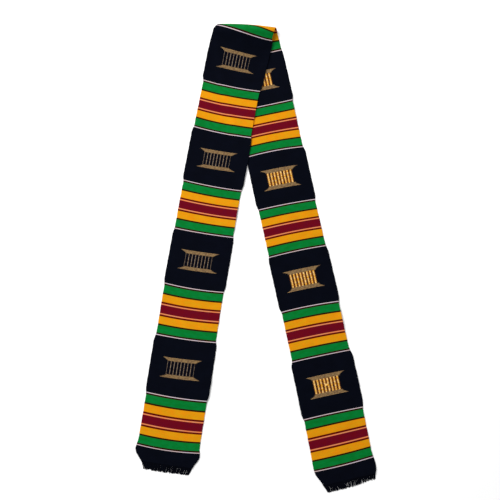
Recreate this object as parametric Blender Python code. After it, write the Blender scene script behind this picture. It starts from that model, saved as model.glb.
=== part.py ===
"""A narrow kente strip, folded over once at its middle and laid flat, with raveled ends.

The strip is one long band of cloth. It starts at the front end, runs up the front leg,
turns over in a soft loop and runs down the back leg. The front leg lies on the back leg
where they cross, and on the surface everywhere else. Each end is raveled into a fringe,
and the threads of a fringe are held in a narrow root band of their own.

Frame: the surface is z = 0, the length runs along Y, and the origin is under the middle.
"""
import math
import random
from collections import namedtuple

import bmesh
import bpy
import numpy as np

# Cloth and fold, in metres and radians
THICKNESS = 0.0014
LAYER_GAP = 0.0006
FOLD_X = -0.01686
FOLD_Y = 0.43800
FOLD_RADIUS = 0.0115
FOLD_OVERTURN = math.radians(30.0)
FOLD_SETTLE = 0.071
FOLD_SIZE = 1.14
FOLD_TAPER = 0.26
FOLD_CROWN = 0.23
FOLD_HALF_WIDTH = 0.062
FOLD_FROM_LINE = 0.0250
FOLD_DRAW = 0.0045
FOLD_DRAW_REACH = 0.085
DRAPE_START = 0.030
DRAPE_END = 0.011

# Rows and columns of the solid
COLUMNS = 10
ROW_STEP = 0.024
SETTLE_STEP = 0.010
LOOP_STEP = 0.0042
LOOP_REACH = 0.022
SETTLE_REACH = 0.100

# One group of stripes, from one pale line to the next, as shares of its length
Band = namedtuple("Band", "colour start")
STRIPE_BANDS = (
    Band("green", 0.0),
    Band("gold", 0.187),
    Band("maroon", 0.370),
    Band("gold", 0.630),
    Band("green", 0.813),
)

# The strip from the front end to the back end. Lean is the angle of the run from the
# Y axis, and skew is what the cross threads add to it, both in degrees at the middle.
# Stray is how far the cloth lies to the right of its run. The black panels are woven
# wider than the stripes, and widen a little way in from each line.
Section = namedtuple("Section", "name kind length lean skew width stray")
STRIP = (
    Section("front stripes 4", "stripes", 0.0969, 8.75, -0.4, 0.1155, -0.0003),
    Section("front panel 4", "panel", 0.1101, 8.50, -0.4, 0.1205, -0.0003),
    Section("front stripes 3", "stripes", 0.0974, 8.80, -0.7, 0.1146, -0.0007),
    Section("front panel 3", "panel", 0.1088, 9.80, -0.1, 0.1194, -0.0011),
    Section("front stripes 2", "stripes", 0.0950, 9.50, 1.2, 0.1152, -0.0017),
    Section("front panel 2", "panel", 0.1087, 9.70, 1.7, 0.1205, -0.0007),
    Section("front stripes 1", "stripes", 0.0973, 10.20, 1.4, 0.1145, -0.0006),
    Section("front panel 1", "panel", 0.1100, 12.90, 2.5, 0.1218, -0.0007),
    Section("stripes at the fold", "stripes", 0.0905, 12.90, 1.8, 0.1138, 0.0003),
    Section("back panel 1", "panel", 0.1070, 12.10, 0.3, 0.1172, 0.0005),
    Section("back stripes 1", "stripes", 0.0945, 12.10, 0.5, 0.1111, -0.0001),
    Section("back panel 2", "panel", 0.1095, 11.30, 0.2, 0.1176, -0.0003),
    Section("back stripes 2", "stripes", 0.0945, 11.70, 0.2, 0.1122, 0.0007),
    Section("back panel 3", "panel", 0.1095, 12.60, -0.4, 0.1173, 0.0012),
    Section("back stripes 3", "stripes", 0.0955, 11.90, -0.7, 0.1110, 0.0003),
    Section("back panel 4", "panel", 0.1095, 11.40, 0.3, 0.1190, 0.0012),
    Section("back stripes 4", "stripes", 0.0945, 11.20, 1.4, 0.1125, 0.0005),
)
WIDTH_CHANGE = 0.009
WIDTH_DELAY = 0.003
FOLD_SECTION = 8

# The raveled ends: the half widths to the left and right of the middle line at
# distances past the last pale line. The cloth flares there, and then its woven corners
# are drawn in
EndRow = namedtuple("EndRow", "past left right")
FRONT_END = (
    EndRow(-0.0140, 0.0577, 0.0577),
    EndRow(-0.0060, 0.0584, 0.0582),
    EndRow(0.0000, 0.0597, 0.0600),
    EndRow(0.0070, 0.0609, 0.0607),
    EndRow(0.0140, 0.0578, 0.0582),
    EndRow(0.0215, 0.0511, 0.0535),
    EndRow(0.0285, 0.0450, 0.0500),
    EndRow(0.0425, 0.0375, 0.0455),
)
BACK_END = (
    EndRow(-0.0300, 0.0562, 0.0560),
    EndRow(-0.0150, 0.0569, 0.0557),
    EndRow(0.0000, 0.0566, 0.0568),
    EndRow(0.0070, 0.0554, 0.0583),
    EndRow(0.0140, 0.0514, 0.0587),
    EndRow(0.0215, 0.0474, 0.0572),
    EndRow(0.0285, 0.0454, 0.0540),
    EndRow(0.0425, 0.0390, 0.0495),
)
END_WOVEN = 0.0285
CORNER_ROLL = 0.0011

# Places where a selvage stands a little off the surface
Lift = namedtuple("Lift", "along side rise reach")
LIFTS = (
    Lift(0.215, -1, 0.0024, 0.050),
    Lift(0.395, 1, 0.0020, 0.045),
    Lift(0.560, -1, 0.0022, 0.060),
    Lift(0.735, 1, 0.0018, 0.050),
    Lift(-0.190, 1, 0.0022, 0.050),
    Lift(-0.455, -1, 0.0022, 0.055),
    Lift(-0.610, 1, 0.0024, 0.060),
    Lift(-0.780, -1, 0.0016, 0.040),
)

# Fringe: the root band and its locks of thread
ROOT_GAP = 0.0003
ROOT_LENGTH = 0.0025
ROOT_THICKNESS = 0.0012
LOCKS = 64
LOCK_SHARE = 0.68
LOCK_TIP_SHARE = 0.50
LOCK_TIP_HEIGHT = 0.0006
LOCK_STEPS = 3
LOCK_SWAY = 0.0011
LOCK_STRAY = 0.00012
LOCK_UNEVEN = 0.0014
FringeEnd = namedtuple("FringeEnd", "name side left_tip right_tip seed")
FRINGES = (
    FringeEnd("fringe_front", 1, 0.0415, 0.0415, 3),
    FringeEnd("fringe_back", -1, 0.0428, 0.0370, 5),
)

# Colours as scene linear values
COLOURS = {
    "black": (0.006, 0.007, 0.016, 1.0),
    "green": (0.004, 0.235, 0.030, 1.0),
    "gold": (0.800, 0.345, 0.012, 1.0),
    "maroon": (0.150, 0.004, 0.016, 1.0),
}
CLOTH_ROUGHNESS = 0.85
YARN_ROUGHNESS = 0.80


def smooth_step(value):
    """Return 0 below 0, 1 above 1 and a soft step between."""
    value = np.clip(value, 0.0, 1.0)
    return value * value * (3.0 - 2.0 * value)


class MiddleLine:
    """The strip's middle line in the plane of the opened cloth.

    Distances along are counted from the turn of the fold, and grow towards the front end.
    In that plane the front leg runs on upwards, past the fold, from the back leg.
    """

    STEP = 0.001
    SPARE = 0.06

    def __init__(self):
        lengths = np.array([section.length for section in STRIP])
        line_ends = np.concatenate([[0.0], np.cumsum(lengths)])
        fold_at = line_ends[FOLD_SECTION] + FOLD_FROM_LINE
        self.lines = fold_at - line_ends
        middles = (self.lines[1:] + self.lines[:-1]) / 2.0
        self.front_line = self.lines[0]
        self.back_line = self.lines[-1]
        front_reach = self.front_line + self.SPARE
        back_reach = self.back_line - self.SPARE
        steps_front = int(round(front_reach / self.STEP))
        steps_back = int(round(-back_reach / self.STEP))
        self.along = np.arange(-steps_back, steps_front + 1) * self.STEP
        order = np.argsort(middles)
        self.lean = self.read(middles, order, [math.radians(row.lean) for row in STRIP])
        self.skew = self.read(middles, order, [math.radians(row.skew) for row in STRIP])
        self.stray = self.read(middles, order, [row.stray for row in STRIP])
        self.width = self.read_widths()
        self.x = self.add_up(-np.sin(self.lean), steps_back)
        self.y = self.add_up(np.cos(self.lean), steps_back)

    def read(self, middles, order, values):
        """Return a column of the strip's table at every step along the line."""
        return np.interp(self.along, middles[order], np.array(values)[order])

    def read_widths(self):
        """Return the width at every step: even in a section, with a soft change at a line."""
        widths = np.full(len(self.along), STRIP[0].width)
        for line, before, after in zip(self.lines[1:], STRIP, STRIP[1:]):
            change_at = line - WIDTH_DELAY if after.kind == "panel" else line + WIDTH_DELAY
            past = smooth_step((change_at - self.along) / (2.0 * WIDTH_CHANGE) + 0.5)
            widths += (after.width - before.width) * past
        return widths

    def add_up(self, slope, zero_index):
        """Return the running sum of a slope along the line, 0 at the fold."""
        total = np.concatenate([[0.0], np.cumsum((slope[1:] + slope[:-1]) / 2.0 * self.STEP)])
        return total - total[zero_index]

    def at(self, along):
        """Return x, y, lean, skew, stray and width at a distance along the line."""
        columns = (self.x, self.y, self.lean, self.skew, self.stray, self.width)
        return [float(np.interp(along, self.along, column)) for column in columns]


class FoldProfile:
    """The side view of the fold: it turns up off the surface, over and down again."""

    STEP = 0.0002

    def __init__(self):
        self.start = -FOLD_RADIUS * math.pi / 2.0
        turn_length = FOLD_RADIUS * (math.pi + FOLD_OVERTURN)
        self.length = turn_length + FOLD_SETTLE
        self.distance = np.arange(0.0, self.length + self.STEP, self.STEP)
        settled = np.clip((self.distance - turn_length) / FOLD_SETTLE, 0.0, 1.0)
        turned = self.distance / FOLD_RADIUS
        landing = math.pi + FOLD_OVERTURN * (1.0 - settled)
        angle = np.where(self.distance < turn_length, turned, landing)
        self.y = self.add_up(np.cos(angle))
        self.z = self.add_up(np.sin(angle))
        self.taken_up = self.y[-1] + self.distance[-1]

    def add_up(self, slope):
        """Return the running sum of a slope, 0 where the fold starts."""
        return np.concatenate([[0.0], np.cumsum((slope[1:] + slope[:-1]) / 2.0 * self.STEP)])

    def at(self, distance, size):
        """Return y and z of the cloth's middle at a distance across a fold of a given size."""
        run = distance - self.start
        if run <= 0.0:
            return run, 0.0
        if run >= size * self.length:
            return self.taken_up - run, 0.0
        done = run / size
        share = float(smooth_step(run / (size * self.length)))
        y = size * float(np.interp(done, self.distance, self.y))
        z = size * (float(np.interp(done, self.distance, self.z)) - share * self.z[-1])
        return y + (1.0 - size) * self.taken_up * share, z


def half_widths(line, along):
    """Return the cloth's half widths to the left and right at a distance along."""
    for rows, past in ((FRONT_END, along - line.front_line), (BACK_END, line.back_line - along)):
        if past > rows[0].past:
            places = [row.past for row in rows]
            left = np.interp(past, places, [row.left for row in rows])
            right = np.interp(past, places, [row.right for row in rows])
            return float(left), float(right)
    half = line.at(along)[5] / 2.0
    drawn = FOLD_DRAW * float(1.0 - smooth_step(abs(along) / FOLD_DRAW_REACH))
    return half - drawn, half


def past_last_line(line, along):
    """Return how far a distance along is past the last pale line at its end, or 0."""
    return max(along - line.front_line, line.back_line - along, 0.0)


class StripSurface:
    """Places points of the cloth, from along and across, in the folded shape."""

    def __init__(self):
        self.line = MiddleLine()
        self.profile = FoldProfile()
        self.back_edge = self.find_back_edge()

    def flat_place(self, along, across):
        """Return the place in the plane of the opened cloth."""
        x, y, lean, skew, stray, _ = self.line.at(along)
        turn = lean + skew
        shear = (across + stray) / math.cos(skew)
        return x + shear * math.cos(turn), y + shear * math.sin(turn)

    def plan_place(self, along, across):
        """Return x and y on the surface, and the height that the fold gives."""
        x, distance = self.flat_place(along, across)
        side = max(-1.0, min(1.0, x / FOLD_HALF_WIDTH))
        size = FOLD_SIZE - FOLD_TAPER * side - FOLD_CROWN * side ** 2
        y, height = self.profile.at(distance, size)
        return FOLD_X + x, FOLD_Y + y, height, distance

    def find_back_edge(self):
        """Return y and x of the back leg's left edge, from its end up to the fold."""
        places = np.linspace(self.line.back_line, 0.0, 90)
        rows = []
        for along in places:
            left, _ = half_widths(self.line, along)
            x, y, _, _ = self.plan_place(along, -left)
            rows.append((y, x))
        rows.sort()
        return np.array(rows)

    def crossing_height(self, x, y):
        """Return how high the front leg lies at a place, on the back leg or the surface."""
        edge_x = float(np.interp(y, self.back_edge[:, 0], self.back_edge[:, 1]))
        over = x - edge_x + DRAPE_START
        step = float(smooth_step(over / (DRAPE_START - DRAPE_END)))
        return (THICKNESS + LAYER_GAP) * step

    def lifted(self, along, across, half):
        """Return how far the selvages stand off the surface at a place."""
        rise = 0.0
        for lift in LIFTS:
            away = (along - lift.along) / lift.reach
            if abs(away) < 1.0 and across * lift.side > 0.0:
                edge = abs(across) / half
                rise += lift.rise * math.cos(away * math.pi / 2.0) ** 2 * edge ** 3
        return rise

    def place(self, along, share):
        """Return a point of the cloth's middle surface, with share from -1 to 1 across."""
        left, right = half_widths(self.line, along)
        half = right if share > 0.0 else left
        across = share * half
        x, y, height, distance = self.plan_place(along, across)
        z = THICKNESS / 2.0 + height + self.lifted(along, across, half)
        if distance > 0.0:
            joined = float(smooth_step(distance / LOOP_REACH))
            z += joined * self.crossing_height(x, y)
        return x, y, z


def band_edges(section_start, section):
    """Return the bands of a section as their start, end and colour."""
    if section.kind == "panel":
        return [(section_start, section_start - section.length, "black")]
    bands = []
    for index, band in enumerate(STRIPE_BANDS):
        last = index == len(STRIPE_BANDS) - 1
        end = 1.0 if last else STRIPE_BANDS[index + 1].start
        start_at = section_start - band.start * section.length
        end_at = section_start - end * section.length
        bands.append((start_at, end_at, band.colour))
    return bands


def row_step(along):
    """Return the longest row allowed at a distance along: short in the fold."""
    if abs(along) < LOOP_REACH:
        return LOOP_STEP
    if 0.0 < along < SETTLE_REACH:
        return SETTLE_STEP
    return ROW_STEP


def strip_rows(line):
    """Return the rows' distances along, front to back, and a colour for each gap."""
    bands = []
    for start, section in zip(line.lines, STRIP):
        bands += band_edges(start, section)
    rows = [line.front_line]
    colours = []
    for start, end, colour in bands:
        at = start
        while at - end > 1e-6:
            step = min(row_step(at), row_step(at - LOOP_STEP))
            count = max(1, math.ceil((at - end) / step - 1e-6))
            at -= (at - end) / count
            rows.append(at)
            colours.append(colour)
    woven = [row.past for row in FRONT_END if 0.0 < row.past <= END_WOVEN]
    before = [line.front_line + past for past in reversed(woven)]
    after = [line.back_line - past for past in woven]
    edge_colours = ["black"] * len(woven)
    return before + rows + after, edge_colours + colours + edge_colours


def make_material(name, colour, roughness):
    """Return a plain material for one colour of yarn."""
    material = bpy.data.materials.new(name)
    material.use_nodes = True
    shader = material.node_tree.nodes["Principled BSDF"]
    shader.inputs["Base Color"].default_value = colour
    shader.inputs["Roughness"].default_value = roughness
    shader.inputs["Metallic"].default_value = 0.0
    return material


def thicken(bm, half_thickness):
    """Turn an open surface into a closed sheet, half its thickness to each side."""
    bm.normal_update()
    offset = bm.verts.layers.float_vector.new("offset")
    lower = list(bm.verts)
    for vert in lower:
        vert[offset] = vert.normal * half_thickness(vert)
    made = bmesh.ops.extrude_face_region(bm, geom=bm.faces[:], use_keep_orig=True)
    upper = [item for item in made["geom"] if isinstance(item, bmesh.types.BMVert)]
    for vert in lower:
        vert.co -= vert[offset]
    for vert in upper:
        vert.co += vert[offset]


def rest_on_surface(bm, snap):
    """Put each point that is within a hair of the surface exactly on it."""
    for vert in bm.verts:
        if vert.co.z < snap:
            vert.co.z = 0.0


def finish_object(name, bm, materials):
    """Make a closed mesh into a named object with its materials."""
    bmesh.ops.recalc_face_normals(bm, faces=bm.faces[:])
    mesh = bpy.data.meshes.new(name)
    bm.to_mesh(mesh)
    bm.free()
    for material in materials:
        mesh.materials.append(material)
    mesh.shade_smooth()
    mesh.set_sharp_from_angle(angle=math.radians(40.0))
    obj = bpy.data.objects.new(name, mesh)
    bpy.context.scene.collection.objects.link(obj)
    return obj


def build_cloth(surface, materials):
    """Build the woven strip as one closed sheet, coloured band by band."""
    line = surface.line
    rows, colours = strip_rows(line)
    names = list(materials)
    bm = bmesh.new()
    extra = bm.verts.layers.float.new("extra")
    grid = []
    for along in rows:
        past = past_last_line(line, along)
        verts = []
        for column in range(COLUMNS + 1):
            share = 2.0 * column / COLUMNS - 1.0
            x, y, z = surface.place(along, share)
            roll = CORNER_ROLL * float(smooth_step(past / END_WOVEN)) * abs(share) ** 8
            vert = bm.verts.new((x, y, z + roll / 2.0))
            vert[extra] = roll
            verts.append(vert)
        grid.append(verts)
    for upper, lower, colour in zip(grid, grid[1:], colours):
        for left in range(COLUMNS):
            face = bm.faces.new((upper[left], lower[left], lower[left + 1], upper[left + 1]))
            face.material_index = names.index(colour)
    thicken(bm, lambda vert: (THICKNESS + vert[extra]) / 2.0)
    rest_on_surface(bm, 0.00008)
    return finish_object("cloth", bm, materials.values())


def end_place(surface, side, past, share):
    """Return x and y of a place past the last pale line of one end."""
    line = surface.line
    along = line.front_line + past if side > 0 else line.back_line - past
    left, right = half_widths(line, along)
    x, y, _, _ = surface.plan_place(along, share * (right if share > 0.0 else left))
    return x, y


def lock_shares():
    """Return the edges of locks and gaps across the root band, as shares from -1 to 1."""
    pitch = 2.0 / (LOCKS - 1 + LOCK_SHARE)
    shares = []
    for index in range(LOCKS):
        start = -1.0 + index * pitch
        shares += [start, start + pitch * LOCK_SHARE]
    return shares


def lock_section(surface, fringe, edges, tip_past, sway, grown):
    """Return the four corners of a lock at a share of its length, round its section."""
    root_past = END_WOVEN + ROOT_GAP + ROOT_LENGTH
    past = root_past + (tip_past - root_past) * grown
    middle = (edges[0] + edges[1]) / 2.0
    half = (edges[1] - edges[0]) / 2.0 * (1.0 - (1.0 - LOCK_TIP_SHARE) * grown)
    top = ROOT_THICKNESS + (LOCK_TIP_HEIGHT - ROOT_THICKNESS) * grown
    left = end_place(surface, fringe.side, past, middle - half)
    right = end_place(surface, fringe.side, past, middle + half)
    shift = sway * grown ** 1.5
    return [
        (left[0] + shift, left[1], 0.0),
        (right[0] + shift, right[1], 0.0),
        (right[0] + shift, right[1], top),
        (left[0] + shift, left[1], top),
    ]


def build_fringe(surface, fringe, material):
    """Build one raveled end: a root band with its locks, all level on the surface."""
    draw = random.Random(fringe.seed)
    shares = lock_shares()
    start = END_WOVEN + ROOT_GAP
    bm = bmesh.new()
    grid = []
    for past in (start, start + ROOT_LENGTH):
        places = [end_place(surface, fringe.side, past, share) for share in shares]
        grid.append([bm.verts.new((x, y, ROOT_THICKNESS / 2.0)) for x, y in places])
    for left in range(len(shares) - 1):
        bm.faces.new((grid[0][left], grid[1][left], grid[1][left + 1], grid[0][left + 1]))
    root_verts = grid[1]
    ends = {}
    for index in range(LOCKS):
        ends[index] = (root_verts[2 * index], root_verts[2 * index + 1])
    lower = {index: [vert.co.copy() for vert in pair] for index, pair in ends.items()}
    thicken(bm, lambda vert: ROOT_THICKNESS / 2.0)
    rest_on_surface(bm, 0.00008)
    bmesh.ops.recalc_face_normals(bm, faces=bm.faces[:])
    for index in range(LOCKS):
        face = end_face(bm, lower[index])
        edges = (shares[2 * index], shares[2 * index + 1])
        middle = (edges[0] + edges[1]) / 2.0
        tip = np.interp(middle, (-1.0, 1.0), (fringe.left_tip, fringe.right_tip))
        tip += draw.uniform(-LOCK_UNEVEN, LOCK_UNEVEN)
        wave = math.sin(middle * 9.0 + fringe.seed) + 0.6 * math.sin(middle * 21.0 + 2.0)
        sway = LOCK_SWAY * wave * 0.6 + draw.uniform(-LOCK_STRAY, LOCK_STRAY)
        for step in range(1, LOCK_STEPS + 1):
            corners = lock_section(surface, fringe, edges, tip, sway, step / LOCK_STEPS)
            face = bmesh.ops.extrude_discrete_faces(bm, faces=[face])["faces"][0]
            move_face(face, corners)
    return finish_object(fringe.name, bm, [material])


def end_face(bm, pair):
    """Return the face of the root band that stands between two places at its far edge."""
    middle = (pair[0] + pair[1]) / 2.0
    upright = [face for face in bm.faces if abs(face.normal.z) < 0.5]
    return min(upright, key=lambda face: (face.calc_center_median() - middle).length)


def move_face(face, corners):
    """Move a lock's end face to its corners: left or right, low or high, as it is now."""
    low = sorted(face.verts, key=lambda vert: vert.co.z)
    bottom = sorted(low[:2], key=lambda vert: vert.co.x)
    top = sorted(low[2:], key=lambda vert: vert.co.x)
    for vert, corner in zip((bottom[0], bottom[1], top[1], top[0]), corners):
        vert.co = corner


def main():
    """Clear the scene and build the cloth and its two fringes."""
    for obj in list(bpy.data.objects):
        bpy.data.objects.remove(obj, do_unlink=True)
    surface = StripSurface()
    materials = {}
    for name, colour in COLOURS.items():
        materials[name] = make_material("cloth_" + name, colour, CLOTH_ROUGHNESS)
    build_cloth(surface, materials)
    yarn = make_material("fringe_yarn", COLOURS["black"], YARN_ROUGHNESS)
    for fringe in FRINGES:
        build_fringe(surface, fringe, yarn)


main()
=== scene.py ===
"""A narrow kente strip, folded over once at its middle and laid flat on a pale floor.

The strip is woven with cross stripes and black panels in turn. Each black panel has an
inlay of extra weft: two tapered bars of cloth joined by upright bars, which show tan on
the right side and bright gold on the reverse. Both ends are raveled into a fringe.

A place on the cloth is given as a distance along the strip's middle line, 0 at the turn
of the fold and growing towards the front end, and as a share across it, from -1 at the
left selvage to 1 at the right one. Sizes are in metres.
"""

import logging
import math
import random
from dataclasses import dataclass
from enum import Enum
from typing import Any, Optional, Sequence, Union

import bmesh
import bpy
import numpy as np
from mathutils import Matrix, Vector


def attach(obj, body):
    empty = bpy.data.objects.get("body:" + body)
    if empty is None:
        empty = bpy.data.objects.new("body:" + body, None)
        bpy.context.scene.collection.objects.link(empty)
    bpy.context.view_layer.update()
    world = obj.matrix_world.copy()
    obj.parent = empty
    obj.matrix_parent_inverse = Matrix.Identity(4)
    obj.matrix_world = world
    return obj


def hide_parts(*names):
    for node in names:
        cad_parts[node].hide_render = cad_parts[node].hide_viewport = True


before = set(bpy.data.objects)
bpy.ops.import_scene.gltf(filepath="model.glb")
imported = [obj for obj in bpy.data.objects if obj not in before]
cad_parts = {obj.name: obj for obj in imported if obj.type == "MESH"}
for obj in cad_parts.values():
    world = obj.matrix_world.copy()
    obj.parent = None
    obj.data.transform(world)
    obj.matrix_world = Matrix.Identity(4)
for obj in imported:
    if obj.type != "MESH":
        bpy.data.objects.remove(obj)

LOG = logging.getLogger("kente_strip")
BODY = "root"
SCREEN_WHITE = 255.0
SCREEN_GAMMA = 2.2
FULL_TURN = 2.0 * math.pi
FLOOR_GAP = 0.00003

Array = np.ndarray
Colour = tuple[float, float, float]


class Ground(Enum):
    """What a length of the strip is woven as."""

    STRIPES = "stripes"
    BLACK = "black"


class Face(Enum):
    """The two faces of the cloth, as the side of its middle surface."""

    RIGHT = 1
    REVERSE = -1


class Dye(Enum):
    """The colours of the yarns, as light on a screen shows them, from 0 to 255."""

    BLACK = (11, 13, 20)
    GREEN = (6, 104, 44)
    GOLD = (197, 129, 16)
    MAROON = (92, 9, 27)
    DARK = (36, 16, 6)
    RUST = (82, 8, 4)
    PEACH = (203, 119, 76)
    PALE = (198, 180, 184)
    TAN = (141, 115, 76)
    TAN_BROWN = (103, 79, 59)
    TAN_SHADOW = (58, 40, 26)
    THIN_TAN = (148, 130, 110)
    BRIGHT_GOLD = (202, 142, 32)
    # Painted highlights on the gold yarn, as pale straw blotches.
    STRAW = (219, 182, 118)
    BROWN = (118, 62, 12)

    def light(self, share: float = 1.0) -> Colour:
        """Return the colour in linear light, times a share."""
        return tuple(share * (part / SCREEN_WHITE) ** SCREEN_GAMMA for part in self.value)

    def lights(self, shares: tuple[float, float]) -> list[Colour]:
        """Return the colour in linear light, times each of two shares."""
        return [self.light(share) for share in shares]


class Yarn(Enum):
    """The yarns of the inlays, as the numbers of their materials."""

    TAN = 0
    GOLD = 1
    FIELD = 2
    THIN_TAN = 3


@dataclass(frozen=True)
class Section:
    """One woven length of the strip.

    Lean is the angle of the run from the Y axis, and skew is what the picks add to it,
    both in degrees at the middle of the length. Stray is how far the cloth lies to the
    right of its run.
    """

    ground: Ground
    length: float
    lean: float
    skew: float
    width: float
    stray: float


STRIP = (
    Section(Ground.STRIPES, 0.0969, 8.75, -0.4, 0.1155, -0.0003),
    Section(Ground.BLACK, 0.1101, 8.50, -0.4, 0.1205, -0.0003),
    Section(Ground.STRIPES, 0.0974, 8.80, -0.7, 0.1146, -0.0007),
    Section(Ground.BLACK, 0.1088, 9.80, -0.1, 0.1194, -0.0011),
    Section(Ground.STRIPES, 0.0950, 9.50, 1.2, 0.1152, -0.0017),
    Section(Ground.BLACK, 0.1087, 9.70, 1.7, 0.1205, -0.0007),
    Section(Ground.STRIPES, 0.0973, 10.20, 1.4, 0.1145, -0.0006),
    Section(Ground.BLACK, 0.1100, 12.90, 2.5, 0.1218, -0.0007),
    Section(Ground.STRIPES, 0.0905, 12.90, 1.8, 0.1138, 0.0003),
    Section(Ground.BLACK, 0.1070, 12.10, 0.3, 0.1172, 0.0005),
    Section(Ground.STRIPES, 0.0945, 12.10, 0.5, 0.1111, -0.0001),
    Section(Ground.BLACK, 0.1095, 11.30, 0.2, 0.1176, -0.0003),
    Section(Ground.STRIPES, 0.0945, 11.70, 0.2, 0.1122, 0.0007),
    Section(Ground.BLACK, 0.1095, 12.60, -0.4, 0.1173, 0.0012),
    Section(Ground.STRIPES, 0.0955, 11.90, -0.7, 0.1110, 0.0003),
    Section(Ground.BLACK, 0.1095, 11.40, 0.3, 0.1190, 0.0012),
    Section(Ground.STRIPES, 0.0945, 11.20, 1.4, 0.1125, 0.0005),
)
# The stripes at the fold, and how much wider their bands are drawn than that length allows
FOLD_SECTION = 8
FOLD_STRETCH = 1.12


@dataclass(frozen=True)
class Course:
    """How far a pick strays towards the front end: at its ends and in its middle.

    Its place counts the sections from the front end, so whole numbers are pale lines.
    """

    place: float
    left: float
    middle: float
    right: float


COURSES = (
    Course(0.0, -0.0009, 0.0021, -0.0020),
    Course(0.5, -0.0001, 0.0023, 0.0001),
    Course(1.0, -0.0013, 0.0015, -0.0007),
    Course(1.5, 0.0013, 0.0015, -0.0032),
    Course(2.0, -0.0007, 0.0012, -0.0009),
    Course(3.0, -0.0014, 0.0015, -0.0010),
    Course(3.5, 0.0013, 0.0012, -0.0030),
    Course(4.0, 0.0004, 0.0009, -0.0014),
    Course(5.0, -0.0007, 0.0012, -0.0009),
    Course(5.5, 0.0024, 0.0012, -0.0040),
    Course(6.0, -0.0010, 0.0011, -0.0006),
    Course(7.0, 0.0000, 0.0016, -0.0024),
    Course(7.5, 0.0050, 0.0040, -0.0051),
    Course(8.0, 0.0061, 0.0065, -0.0039),
    Course(9.0, -0.0006, -0.0008, -0.0015),
    Course(10.0, 0.0010, 0.0007, 0.0003),
    Course(11.0, -0.0007, 0.0010, -0.0029),
    Course(12.0, 0.0004, 0.0011, -0.0010),
    Course(13.0, -0.0005, 0.0013, -0.0005),
    Course(14.0, 0.0009, 0.0020, -0.0007),
    Course(15.0, -0.0003, 0.0009, 0.0007),
    Course(16.0, 0.0016, 0.0021, 0.0010),
    Course(17.0, 0.0003, -0.0001, 0.0027),
)


@dataclass(frozen=True)
class Band:
    """One colour of a group of stripes, up to a share of the group's length.

    The shares run from a pale line to the middle, and the group mirrors there. Rise is
    how much thicker than the plain stripes the cloth is woven.
    """

    dye: Dye
    end: float
    rise: float


BANDS = (
    Band(Dye.PALE, 0.0065, 0.00018),
    Band(Dye.DARK, 0.0385, -0.00006),
    Band(Dye.GREEN, 0.185, 0.0),
    Band(Dye.DARK, 0.216, -0.00006),
    Band(Dye.GOLD, 0.3605, 0.00004),
    Band(Dye.RUST, 0.396, -0.00006),
    Band(Dye.PEACH, 0.4185, 0.00008),
    Band(Dye.MAROON, 0.500, 0.0),
)


@dataclass(frozen=True)
class EndRow:
    """The half widths past the last pale line of an end: a flare, then drawn-in corners."""

    past: float
    left: float
    right: float


FRONT_END = (
    EndRow(-0.0140, 0.0577, 0.0577),
    EndRow(-0.0060, 0.0584, 0.0582),
    EndRow(0.0000, 0.0597, 0.0600),
    EndRow(0.0070, 0.0609, 0.0607),
    EndRow(0.0140, 0.0578, 0.0582),
    EndRow(0.0215, 0.0511, 0.0535),
    EndRow(0.0285, 0.0450, 0.0500),
    EndRow(0.0425, 0.0375, 0.0455),
)
BACK_END = (
    EndRow(-0.0300, 0.0562, 0.0560),
    EndRow(-0.0150, 0.0569, 0.0557),
    EndRow(0.0000, 0.0566, 0.0568),
    EndRow(0.0070, 0.0554, 0.0583),
    EndRow(0.0140, 0.0514, 0.0587),
    EndRow(0.0215, 0.0474, 0.0572),
    EndRow(0.0285, 0.0454, 0.0540),
    EndRow(0.0425, 0.0390, 0.0495),
)
# How far the cloth is woven past the last pale lines, before its ends are raveled
END_WOVEN = 0.0285


@dataclass(frozen=True)
class Lift:
    """A place where a selvage stands a little off the floor, on one side of the cloth."""

    along: float
    side: int
    rise: float
    reach: float


LIFTS = (
    Lift(0.215, -1, 0.0024, 0.050),
    Lift(0.395, 1, 0.0020, 0.045),
    Lift(0.560, -1, 0.0022, 0.060),
    Lift(0.735, 1, 0.0018, 0.050),
    Lift(-0.190, 1, 0.0022, 0.050),
    Lift(-0.455, -1, 0.0022, 0.055),
    Lift(-0.610, 1, 0.0024, 0.060),
    Lift(-0.780, -1, 0.0016, 0.040),
)


@dataclass(frozen=True)
class Wave:
    """A gentle wave along the strip: its length, its size, and how it slants across."""

    length: float
    size: float
    slant: float
    phase: float

    def at(self, along: Array, share: Array) -> Array:
        """Return the wave at places of the cloth, from -size to size."""
        turn = FULL_TURN / self.length
        return self.size * np.sin(along * turn + share * self.slant + self.phase)


RIPPLES = (
    Wave(0.0610, 0.00022, 1.7, 0.4),
    Wave(0.0370, 0.00016, -2.3, 1.9),
    Wave(0.0142, 0.00009, 3.1, 0.8),
)
SELVAGE_WAVES = (
    Wave(0.0232, 0.00016, 1.1, 0.3),
    Wave(0.0091, 0.00010, -0.9, 1.4),
    Wave(0.0047, 0.00006, 0.6, 2.6),
)


def smooth_step(value: Array) -> Array:
    """Return 0 below 0, 1 above 1 and a soft step between."""
    value = np.clip(value, 0.0, 1.0)
    return value * value * (3.0 - 2.0 * value)


def running_sum(slope: Array, step: float) -> Array:
    """Return the sum of a slope from its first value on, in even steps."""
    return np.concatenate([[0.0], np.cumsum((slope[1:] + slope[:-1]) / 2.0 * step)])


def between(rows: Array, places: Array, at: Array) -> Array:
    """Return rows of three values at places between those that they are given for."""
    return np.stack([np.interp(at, places, rows[:, axis]) for axis in range(3)], -1)


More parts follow.
